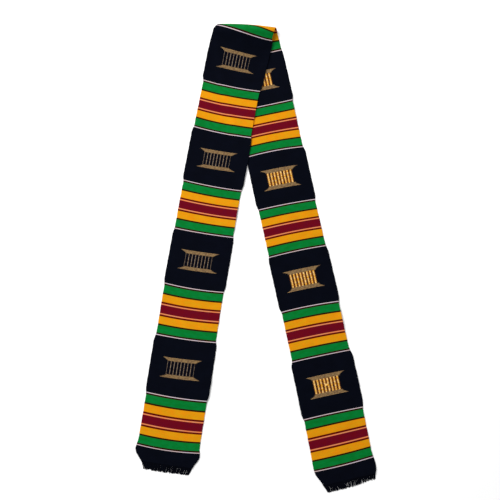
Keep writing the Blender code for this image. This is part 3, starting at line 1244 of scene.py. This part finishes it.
@dataclass
class WovenStrip:
    """The woven cloth, one sheet from end to end, thicker in the stripes."""

    shape: StripShape
    columns: int = 50
    selvage_shares: tuple[float, float] = (0.975, 0.991)
    row: float = 0.0024
    loop_row: float = 0.0013
    loop_start: float = -0.024
    loop_end: float = 0.062
    stripes_thick: float = 0.00105
    black_thick: float = 0.00090
    most_thick: float = 0.00240
    selvage_thin: float = 0.45
    pale_share: float = 0.0060
    slack: float = 1e-6

    def shares(self) -> Array:
        """Place the columns, close together at the selvages.

        Returns:
            Their shares across.
        """
        inner, outer = self.selvage_shares
        middle = np.linspace(-inner, inner, self.columns + 1)
        return np.concatenate([[-1.0, -outer], middle, [outer, 1.0]])

    def stations(self, section: Section) -> list[float]:
        """Work out where a section needs a row.

        Args:
            section: The section.

        Returns:
            Shares of its length, from 0 to 1.
        """
        if section.ground is Ground.BLACK:
            return [0.0, self.pale_share, 1.0 - self.pale_share, 1.0]
        ends = [band.end for band in BANDS[:-1]]
        return [0.0] + ends + [0.5] + [1.0 - end for end in reversed(ends)] + [1.0]

    def rows(self) -> Array:
        """Place the rows, from the front end to the back end.

        Returns:
            Their distances along the middle line.
        """
        shape = self.shape
        edges = [shape.lines[0] + END_WOVEN]
        for line, section in zip(shape.lines, STRIP):
            edges += [line - share * section.length for share in self.stations(section)[:-1]]
        edges += [shape.lines[-1], shape.lines[-1] - END_WOVEN]
        rows = [edges[0]]
        for start, end in zip(edges, edges[1:]):
            in_loop = end < self.loop_end and start > self.loop_start
            step = self.loop_row if in_loop else self.row
            count = max(1, math.ceil((start - end) / step - self.slack))
            rows += list(np.linspace(start, end, count + 1)[1:])
        return np.array(rows)

    def thickness(self, along: Array, share: Array) -> Array:
        """Work out the cloth's thickness.

        Args:
            along: Distances along the middle line.
            share: Shares across.

        Returns:
            The thickness at each place.
        """
        section = section_place(self.shape, along)
        folded = 0.5 - np.abs(section - np.floor(section) - 0.5)
        middles = [0.0] + [(a.end + b.end) / 2.0 for a, b in zip(BANDS, BANDS[1:])]
        striped = self.stripes_thick + np.interp(folded, middles, [band.rise for band in BANDS])
        line = BANDS[0].rise * (1.0 - smooth_step(folded / (2.0 * self.pale_share)))
        plain = np.where(is_striped(section), striped, self.black_thick + line)
        inner = self.selvage_shares[0]
        edge = smooth_step((np.abs(share) - inner) / (1.0 - inner))
        return plain * (1.0 - self.selvage_thin * edge) + self.shape.roll(along, share)

    def build(self) -> bpy.types.Object:
        """Weave the sheet, dress it and lay it in the fold.

        Returns:
            The strip's object.
        """
        rows = self.rows()
        shares = self.shares()
        bm = bmesh.new()
        bmesh.ops.create_grid(bm, x_segments=len(shares) - 1, y_segments=len(rows) - 1, size=1.0)
        mesh = mesh_from(bm, "woven_strip")
        grid = points_of(mesh)
        column = np.rint((grid[:, 0] + 1.0) / 2.0 * (len(shares) - 1)).astype(int)
        row = np.rint((grid[:, 1] + 1.0) / 2.0 * (len(rows) - 1)).astype(int)
        along = rows[row]
        share = shares[column]
        move_points(mesh, self.shape.place(along, share))
        section = section_place(self.shape, along)
        add_uv(mesh, "bands", share, section)
        add_uv(mesh, "weave", share * self.shape.half_width(along, share), along)
        self.dress(mesh, section)
        piece = mesh_object("woven_strip", mesh)
        self.thicken(piece, self.thickness(along, share) / self.most_thick)
        return piece

    def dress(self, mesh: bpy.types.Mesh, section: Array) -> None:
        """Give the stripes and the black ground their materials.

        Args:
            mesh: The sheet's mesh.
            section: Its points' places, as section_place gives them.
        """
        mesh.materials.append(BandedFinish().material())
        mesh.materials.append(BlackFinish().material())
        middle = section[corners_of(mesh)].reshape(-1, 4).mean(axis=1)
        slots = np.where(is_striped(middle), 0, 1).astype(np.int32)
        mesh.polygons.foreach_set("material_index", slots)

    def thicken(self, piece: bpy.types.Object, weights: Array) -> None:
        """Give the sheet its thickness, half to each side of the middle surface.

        Args:
            piece: The sheet's object.
            weights: The thickness at each point, as a share of the most there is.
        """
        group = piece.vertex_groups.new(name="thickness")
        for index, weight in enumerate(weights):
            group.add([index], float(weight), "REPLACE")
        solid = piece.modifiers.new("thickness", "SOLIDIFY")
        solid.thickness = self.most_thick
        solid.offset = 0.0
        solid.vertex_group = group.name
        solid.thickness_vertex_group = 0.0


@dataclass(frozen=True)
class Span:
    """The part of one inlay pick that shows on a face."""

    row: int
    left: float
    right: float
    yarn: Yarn


class YarnMesh:
    """Many lengths of yarn in one mesh, each made from a straight template.

    Spread is how much the count of a yarn grows from its middle to each side.
    """

    spread = 0.45

    def __init__(self, name: str) -> None:
        """Start with no yarns.

        Args:
            name: The mesh's name.
        """
        self.name = name
        self.bm = bmesh.new()
        self.templates: dict[int, bpy.types.Mesh] = {}
        self.materials: list[Array] = []

    def template(self, cuts: int, sides: int) -> bpy.types.Mesh:
        """Make a closed rod along X, 1 long and 1 in radius, or find it again.

        Args:
            cuts: How many times it is cut along its length.
            sides: How many sides it has.

        Returns:
            The rod's mesh.
        """
        if cuts not in self.templates:
            bm = bmesh.new()
            turn = Matrix.Rotation(math.pi / 2.0, 4, "Y")
            bmesh.ops.create_cone(
                bm, cap_ends=True, segments=sides, radius1=1.0, radius2=1.0, depth=1.0, matrix=turn
            )
            runs = [edge for edge in bm.edges if edge.verts[0].co.x * edge.verts[1].co.x < 0.0]
            bmesh.ops.subdivide_edges(bm, edges=runs, cuts=cuts)
            self.templates[cuts] = mesh_from(bm, f"{self.name}_template_{cuts}")
        return self.templates[cuts]

    def add(self, template: bpy.types.Mesh, material: int) -> Array:
        """Add one yarn.

        Args:
            template: The straight yarn.
            material: The number of its material.

        Returns:
            The template's points.
        """
        self.bm.from_mesh(template)
        self.materials.append(np.full(len(template.polygons), material, np.int32))
        return points_of(template)

    def count(self, across: Array) -> Array:
        """Return the last yarn's number, plus a share from 0 to 1 for places across it."""
        return len(self.materials) - 0.5 + self.spread * across

    def finish(self, points: Array, run: Array, count: Array) -> bpy.types.Mesh:
        """Turn the yarns into a mesh.

        Args:
            points: Where each point lies.
            run: The distance along its yarn at each point.
            count: The number of its yarn, plus a share across it, at each point.

        Returns:
            The mesh, with the UV map that the yarns' finish reads.
        """
        mesh = mesh_from(self.bm, self.name)
        move_points(mesh, points)
        add_uv(mesh, "yarn", run, count)
        mesh.polygons.foreach_set("material_index", np.concatenate(self.materials))
        for template in self.templates.values():
            bpy.data.meshes.remove(template)
        return mesh


@dataclass(frozen=True)
class InlayChart:
    """What shows of an inlay on one face, pick by pick, from the fold's side down.

    Near and far are the widths of the two bars of cloth, at their outer and inner edges.
    Hollow is how sharply they flare. Faint edges are a first and a last upright bar that
    show only in part.
    """

    near_outer: float
    near_inner: float
    far_inner: float
    far_outer: float
    bars: int
    bar_width: float
    bar_yarn: Yarn
    faint_edges: bool
    hollow: float
    edge_picks: int
    bar_picks: int
    bar_pitch: float = 0.0064
    bars_left: float = 0.0012
    faint_share: float = 0.45
    pick: float = 0.0009
    uneven: float = 0.00022
    bridge_picks: tuple[int, int] = (12, 15)

    def picks(self) -> int:
        """Return how many picks the inlay has."""
        return 2 * self.edge_picks + self.bar_picks

    def edge_spans(self, draw: random.Random) -> list[Span]:
        """Work out the picks of the two tapered bars of cloth.

        Args:
            draw: The source of the yarns' small unevenness.

        Returns:
            The picks, one of each bar in turn.
        """
        spans = []
        last = self.edge_picks - 1
        for index in range(self.edge_picks):
            near_flare = (1.0 - index / last) ** self.hollow
            far_flare = (index / last) ** self.hollow
            near = self.near_inner + (self.near_outer - self.near_inner) * near_flare
            far = self.far_inner + (self.far_outer - self.far_inner) * far_flare
            for row, width in ((index, near), (self.edge_picks + self.bar_picks + index, far)):
                left = -width / 2.0 + draw.uniform(-self.uneven, self.uneven)
                right = width / 2.0 + draw.uniform(-self.uneven, self.uneven)
                spans.append(Span(row, left, right, Yarn.TAN))
        return spans

    def bar_spans(self, draw: random.Random, bridged: bool) -> list[Span]:
        """Work out the short floats of the upright bars.

        Args:
            draw: The source of the yarns' small unevenness.
            bridged: Whether a few floats join the two middle bars.

        Returns:
            The floats, pick by pick.
        """
        spans = []
        for bar in range(self.bars):
            middle = (bar - (self.bars - 1) / 2.0) * self.bar_pitch - self.bars_left
            faint = self.faint_edges and bar in (0, self.bars - 1)
            for pick in range(self.bar_picks):
                half = self.bar_width / 2.0 * (self.faint_share if faint else 1.0)
                left = middle - half + draw.uniform(-self.uneven, self.uneven) / 2.0
                right = middle + half + draw.uniform(-self.uneven, self.uneven) / 2.0
                if bridged and bar == self.bars // 2 - 1 and self.in_bridge(pick):
                    right = middle + self.bar_pitch + half
                if bridged and bar == self.bars // 2 and self.in_bridge(pick):
                    continue
                spans.append(Span(self.edge_picks + pick, left, right, self.bar_yarn))
        return spans

    def in_bridge(self, pick: int) -> bool:
        """Return whether a pick is one of the few that join the middle bars."""
        return self.bridge_picks[0] <= pick <= self.bridge_picks[1]


CHARTS = {
    Face.RIGHT: InlayChart(
        near_outer=0.0735, near_inner=0.0555, far_inner=0.0530, far_outer=0.0755,
        bars=9, bar_width=0.0013, bar_yarn=Yarn.THIN_TAN, faint_edges=True,
        hollow=1.3, edge_picks=7, bar_picks=28,
    ),
    Face.REVERSE: InlayChart(
        near_outer=0.0735, near_inner=0.0545, far_inner=0.0545, far_outer=0.0735,
        bars=8, bar_width=0.0036, bar_yarn=Yarn.GOLD, faint_edges=False,
        hollow=1.9, edge_picks=8, bar_picks=29,
    ),
}


@dataclass
class Inlay:
    """One inlay as it shows on one face of a black panel, a little past its middle."""

    shape: StripShape
    panel: int
    face: Face
    number: int
    bridged: bool = False
    past_middle: float = 0.0011
    yarn_high: float = 0.00020
    yarn_sunk: float = 0.00006
    yarn_fill: float = 0.56
    field_high: float = 0.00007
    end_blunt: float = 0.6
    row_stray: float = 0.05
    sides: int = 6
    segment: float = 0.0022
    least_cuts: int = 3
    ground_half: float = 0.00045

    def name(self) -> str:
        """Return the piece's name."""
        return f"inlay_{self.face.name.lower()}_{self.number}"

    def middle(self) -> float:
        """Return the distance along of the inlay's middle."""
        return float(self.shape.lines[self.panel] - STRIP[self.panel].length / 2.0)

    def build(self, materials: Sequence[bpy.types.Material]) -> bpy.types.Object:
        """Lay the inlay's picks on the cloth.

        Args:
            materials: The materials of the yarns, in their order.

        Returns:
            The inlay's object.
        """
        chart = CHARTS[self.face]
        draw = random.Random(100 * self.number + self.face.value)
        spans = chart.edge_spans(draw) + chart.bar_spans(draw, self.bridged)
        if self.face is Face.REVERSE:
            spans += self.field_spans(chart)
        yarns = YarnMesh(self.name())
        parts = [self.lay(yarns, chart, span, draw) for span in spans]
        across, down, height, count = (np.concatenate(part) for part in zip(*parts))
        mesh = yarns.finish(self.on_cloth(across, down, height), across, count)
        for material in materials:
            mesh.materials.append(material)
        return mesh_object(self.name(), mesh)

    def field_spans(self, chart: InlayChart) -> list[Span]:
        """Work out the picks of the brown field that shows between the gold bars.

        Args:
            chart: The inlay's chart.

        Returns:
            The picks, from the fold's side down.
        """
        half = chart.bars / 2.0 * chart.bar_pitch
        left, right = -half - chart.bars_left, half - chart.bars_left
        rows = range(chart.edge_picks, chart.edge_picks + chart.bar_picks)
        return [Span(row, left, right, Yarn.FIELD) for row in rows]

    def lay(
        self, yarns: YarnMesh, chart: InlayChart, span: Span, draw: random.Random
    ) -> tuple[Array, Array, Array, Array]:
        """Add one pick.

        Args:
            yarns: The mesh that takes it.
            chart: The inlay's chart.
            span: The pick's span.
            draw: The source of its small unevenness.

        Returns:
            Its points' places across and down the inlay and off the cloth, and the
            yarn's count.
        """
        width = span.right - span.left
        cuts = max(self.least_cuts, int(width / self.segment))
        unit = yarns.add(yarns.template(cuts, self.sides), span.yarn.value)
        from_end = np.abs(unit[:, 0]) * 2.0
        end_share = min(1.0, 2.0 * chart.pick / width)
        blunted = smooth_step((from_end - 1.0 + end_share) / end_share) ** 2
        blunt = 1.0 - self.end_blunt * blunted
        high = self.field_high if span.yarn is Yarn.FIELD else self.yarn_high
        across = span.left + (unit[:, 0] + 0.5) * width
        stray = draw.uniform(-self.row_stray, self.row_stray)
        row = span.row + 0.5 + stray - chart.picks() / 2.0
        down = (row + unit[:, 1] * self.yarn_fill * blunt) * chart.pick
        height = (unit[:, 2] * high + self.yarn_sunk) * blunt
        return across, down, height, yarns.count(unit[:, 1])

    def on_cloth(self, across: Array, down: Array, height: Array) -> Array:
        """Lay points of the inlay on its face of the cloth, and keep them above the floor.

        Args:
            across: Their places across the inlay.
            down: Their places down it.
            height: How far they stand off the cloth.

        Returns:
            The points.
        """
        middle = self.middle()
        along = middle + math.copysign(1.0, middle) * (self.past_middle + down)
        share = across / self.shape.half_width(along, across)
        off = (self.ground_half + height) * self.face.value
        points = self.shape.stand_off(along, share, off)
        points[:, 2] = np.maximum(points[:, 2], FLOOR_GAP)
        return points


@dataclass
class Fringe:
    """One raveled end: two-ply yarns that lie side by side on the floor.

    Side is 1 for the front end and -1 for the back end. Tips are how far past the last
    pale line the yarns reach at the left, in the middle and at the right, and root_past
    is where they start, inside the cloth.
    """

    shape: StripShape
    name: str
    node: str
    side: int
    tips: tuple[float, float, float]
    seed: int
    yarns: int = 176
    crowd: float = 0.4
    ply_radius: float = 0.00028
    ply_sides: int = 5
    steps_a_turn: int = 7
    turns: float = 4.5
    root_past: float = 0.0262
    shorter: float = 0.0018
    longer: float = 0.00108
    sway: float = 0.00078
    sway_turns: tuple[float, float] = (9.0, 21.0)
    sway_second: float = 0.6
    sway_phase: float = 2.0
    lock: float = 0.0003
    lock_turns: tuple[float, float] = (62.0, 97.0)
    lock_second: float = 0.8
    stray: float = 0.0008
    curl: float = 0.0004
    curl_turn: float = 0.75
    lean_power: float = 1.2
    hump: float = 0.0007
    settled_at: float = 0.35
    path_points: int = 33
    tip_spread: float = 0.7
    tip_power: int = 6

    def template(self) -> bpy.types.Mesh:
        """Make a straight two-ply yarn along Z, from 0 to 1, in radii across.

        Returns:
            The yarn's mesh.
        """
        steps = int(round(self.turns * self.steps_a_turn))
        bm = bmesh.new()
        for ply in range(2):
            place = Matrix.Translation((1.0 - 2.0 * ply, 0.0, 0.0))
            ring = bmesh.ops.create_circle(bm, segments=self.ply_sides, radius=1.0, matrix=place)
            rim = [edge for edge in bm.edges if edge.is_wire]
            bmesh.ops.spin(
                bm,
                geom=ring["verts"] + rim,
                axis=(0.0, 0.0, 1.0),
                dvec=(0.0, 0.0, 1.0 / steps),
                angle=self.turns * FULL_TURN,
                steps=steps,
            )
        open_edges = [edge for edge in bm.edges if edge.is_boundary]
        bmesh.ops.holes_fill(bm, edges=open_edges, sides=self.ply_sides)
        bmesh.ops.recalc_face_normals(bm, faces=bm.faces[:])
        return mesh_from(bm, f"{self.name}_template")

    def end_line(self, past: Array, share: Array) -> Array:
        """Return the places past the last pale line of this end."""
        line = self.shape.lines[0] if self.side > 0 else self.shape.lines[-1]
        return self.shape.place(line + self.side * past, share)

    def common_lean(self, share: float) -> float:
        """Work out how far the yarns at one place lean together.

        Args:
            share: The place across the end.

        Returns:
            The lean at their tips, from a wide sway and from small locks.
        """
        wide, narrow = self.sway_turns
        sway = math.sin(share * wide + self.seed)
        sway += self.sway_second * math.sin(share * narrow + self.sway_phase)
        wide, narrow = self.lock_turns
        lock = math.sin(share * wide + self.seed) + self.lock_second * math.sin(share * narrow)
        return self.sway * sway + self.lock * lock

    def path(self, share: float, draw: random.Random, grown: Array) -> Array:
        """Work out the course of one yarn.

        Args:
            share: Where across the end it leaves the cloth.
            draw: The source of its stray and length.
            grown: The shares of its length to give points for.

        Returns:
            The points.
        """
        tip = np.interp(share, (-1.0, 0.0, 1.0), self.tips)
        tip += draw.uniform(-self.shorter, self.longer)
        past = self.root_past + (tip - self.root_past) * grown
        points = self.end_line(past, np.full(len(grown), share))
        root = self.end_line(np.array([self.root_past]), np.array([share]))[0]
        lean = self.common_lean(share) + draw.uniform(-self.stray, self.stray)
        curl = draw.uniform(-self.curl, self.curl)
        points[:, 0] += lean * grown ** self.lean_power
        points[:, 0] += curl * np.sin(grown * self.curl_turn * FULL_TURN) * grown
        rest = 2.0 * self.ply_radius
        hump = draw.uniform(0.0, self.hump) * np.sin(grown * math.pi) ** 2
        settle = 1.0 - smooth_step(grown / self.settled_at)
        points[:, 2] = rest + (root[2] - rest) * settle + hump
        return points

    def build(self, material: bpy.types.Material) -> bpy.types.Object:
        """Lay the yarns of this end, in place of the frame's plain locks.

        Args:
            material: The yarns' material.

        Returns:
            The fringe's object.
        """
        draw = random.Random(self.seed)
        template = self.template()
        unit = points_of(template)
        yarns = YarnMesh(self.name)
        yarns.templates[0] = template
        parts = []
        for index in range(self.yarns):
            share = -1.0 + 2.0 * (index + 0.5) / self.yarns
            share += draw.uniform(-self.crowd, self.crowd) / self.yarns
            yarns.add(template, 0)
            points, run = self.lay(share, unit, draw)
            parts.append((points, run, yarns.count(np.clip(unit[:, 1] / 2.0, -1.0, 1.0))))
        mesh = yarns.finish(*(np.concatenate(part) for part in zip(*parts)))
        mesh.materials.append(material)
        piece = mesh_object(self.name, mesh)
        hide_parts(self.node)
        return piece

    def lay(self, share: float, unit: Array, draw: random.Random) -> tuple[Array, Array]:
        """Bend a straight yarn to its course.

        Args:
            share: Where across the end it leaves the cloth.
            unit: The points of the straight yarn.
            draw: The source of its stray, length and turn.

        Returns:
            The yarn's points, and how far along it they are.
        """
        grown = np.linspace(0.0, 1.0, self.path_points)
        path = self.path(share, draw, grown)
        steps = np.linalg.norm(np.diff(path, axis=0), axis=1)
        runs = np.concatenate([[0.0], np.cumsum(steps)])
        tangent = np.gradient(path, axis=0)
        tangent /= np.linalg.norm(tangent, axis=1, keepdims=True)
        place = between(path, grown, unit[:, 2])
        along = between(tangent, grown, unit[:, 2])
        sideways = np.cross(along, (0.0, 0.0, 1.0))
        sideways /= np.linalg.norm(sideways, axis=1, keepdims=True)
        upwards = np.cross(sideways, along)
        turn = draw.uniform(0.0, FULL_TURN)
        spread = self.ply_radius * (1.0 + self.tip_spread * unit[:, 2] ** self.tip_power)
        x = unit[:, 0] * math.cos(turn) - unit[:, 1] * math.sin(turn)
        y = unit[:, 0] * math.sin(turn) + unit[:, 1] * math.cos(turn)
        place += sideways * (x * spread)[:, None] + upwards * (y * spread)[:, None]
        place[:, 2] = np.maximum(place[:, 2], FLOOR_GAP)
        return place, np.interp(unit[:, 2], grown, runs)


@dataclass
class Studio:
    """The camera, the pale floor and the soft light from the far left."""

    target: tuple[float, float, float] = (-0.009856, -0.001516, 0.0)
    distance: float = 1.345
    tilt: float = math.radians(7.5)
    lens: float = 50.0
    floor_size: float = 4.0
    floor_shade: float = 0.92
    floor_specular: float = 0.2
    floor_rough: float = 0.9
    sky: float = 0.655
    key_place: tuple[float, float, float] = (-1.10, 0.95, 1.50)
    key_size: float = 1.6
    key_power: float = 52.5

    def add_camera(self) -> None:
        """Set up the camera above the cloth, a little towards the front end."""
        camera = bpy.data.cameras.new("camera")
        camera.lens = self.lens
        eye = bpy.data.objects.new("camera", camera)
        back = Vector((0.0, -math.sin(self.tilt), math.cos(self.tilt)))
        eye.location = Vector(self.target) + self.distance * back
        eye.rotation_euler = (self.tilt, 0.0, 0.0)
        bpy.context.scene.collection.objects.link(eye)
        bpy.context.scene.camera = eye

    def add_floor(self) -> None:
        """Lay the pale floor."""
        bm = bmesh.new()
        bmesh.ops.create_grid(bm, x_segments=1, y_segments=1, size=self.floor_size)
        graph = ShaderGraph("pale_floor", EvenLook(self.floor_specular))
        shade = (self.floor_shade,) * 3
        graph.feed(graph.shader.inputs["Base Color"], shade)
        graph.feed(graph.shader.inputs["Roughness"], self.floor_rough)
        mesh = mesh_from(bm, "floor")
        mesh.materials.append(graph.material)
        floor = bpy.data.objects.new("floor", mesh)
        bpy.context.scene.collection.objects.link(floor)

    def add_light(self) -> None:
        """Light the cloth from a pale sky and one large soft lamp."""
        scene = bpy.context.scene
        scene.world = bpy.data.worlds.new("sky")
        scene.world.use_nodes = True
        sky = scene.world.node_tree.nodes["Background"]
        sky.inputs["Color"].default_value = (1.0, 1.0, 1.0, 1.0)
        sky.inputs["Strength"].default_value = self.sky
        lamp = bpy.data.lights.new("key", "AREA")
        lamp.shape = "SQUARE"
        lamp.size = self.key_size
        lamp.energy = self.key_power
        key = bpy.data.objects.new("key", lamp)
        key.location = self.key_place
        aim = Vector(self.target) - Vector(self.key_place)
        key.rotation_euler = aim.to_track_quat("-Z", "Y").to_euler()
        scene.collection.objects.link(key)
        scene.view_settings.view_transform = "Standard"

    def build(self) -> None:
        """Set up the camera, the floor and the light."""
        self.add_camera()
        self.add_floor()
        self.add_light()


INLAY_YARNS = {
    Yarn.TAN: InlayFinish("inlay_tan", Dye.TAN, Dye.TAN_BROWN, Dye.TAN_SHADOW, 0.8),
    Yarn.GOLD: InlayFinish("inlay_gold", Dye.BRIGHT_GOLD, Dye.STRAW, Dye.BROWN, 0.0),
    Yarn.FIELD: InlayFinish("inlay_field", Dye.BROWN, Dye.DARK, Dye.DARK, 0.5),
    Yarn.THIN_TAN: InlayFinish("inlay_thin_tan", Dye.THIN_TAN, Dye.TAN_BROWN, Dye.TAN_SHADOW, 0.5),
}


def report(piece: bpy.types.Object) -> None:
    """Log a piece's name and how many faces it has before its modifiers."""
    LOG.info("%s: %d faces", piece.name, len(piece.data.polygons))


def main() -> None:
    """Build the strip, its inlays and its fringes, and set up the studio."""
    logging.basicConfig(level=logging.INFO, format="%(message)s")
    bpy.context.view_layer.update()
    shape = StripShape()
    Studio().build()
    strip = WovenStrip(shape).build()
    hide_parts("cloth")
    report(strip)
    yarns = [INLAY_YARNS[yarn].material() for yarn in Yarn]
    panels = [index for index, section in enumerate(STRIP) if section.ground is Ground.BLACK]
    for number, panel in enumerate(panels, 1):
        for face in Face:
            bridged = face is Face.REVERSE and panel == panels[-1]
            inlay = Inlay(shape, panel, face, number, bridged).build(yarns)
            report(inlay)
    cotton = FringeFinish().material()
    for fringe in (
        Fringe(
            shape, "fringe_yarns_front", "fringe_front",
            side=1, tips=(0.0408, 0.0417, 0.0398), seed=3,
        ),
        Fringe(
            shape, "fringe_yarns_back", "fringe_back",
            side=-1, tips=(0.0408, 0.0413, 0.0367), seed=5,
        ),
    ):
        piece = fringe.build(cotton)
        report(piece)


if __name__ == "__main__":
    main()
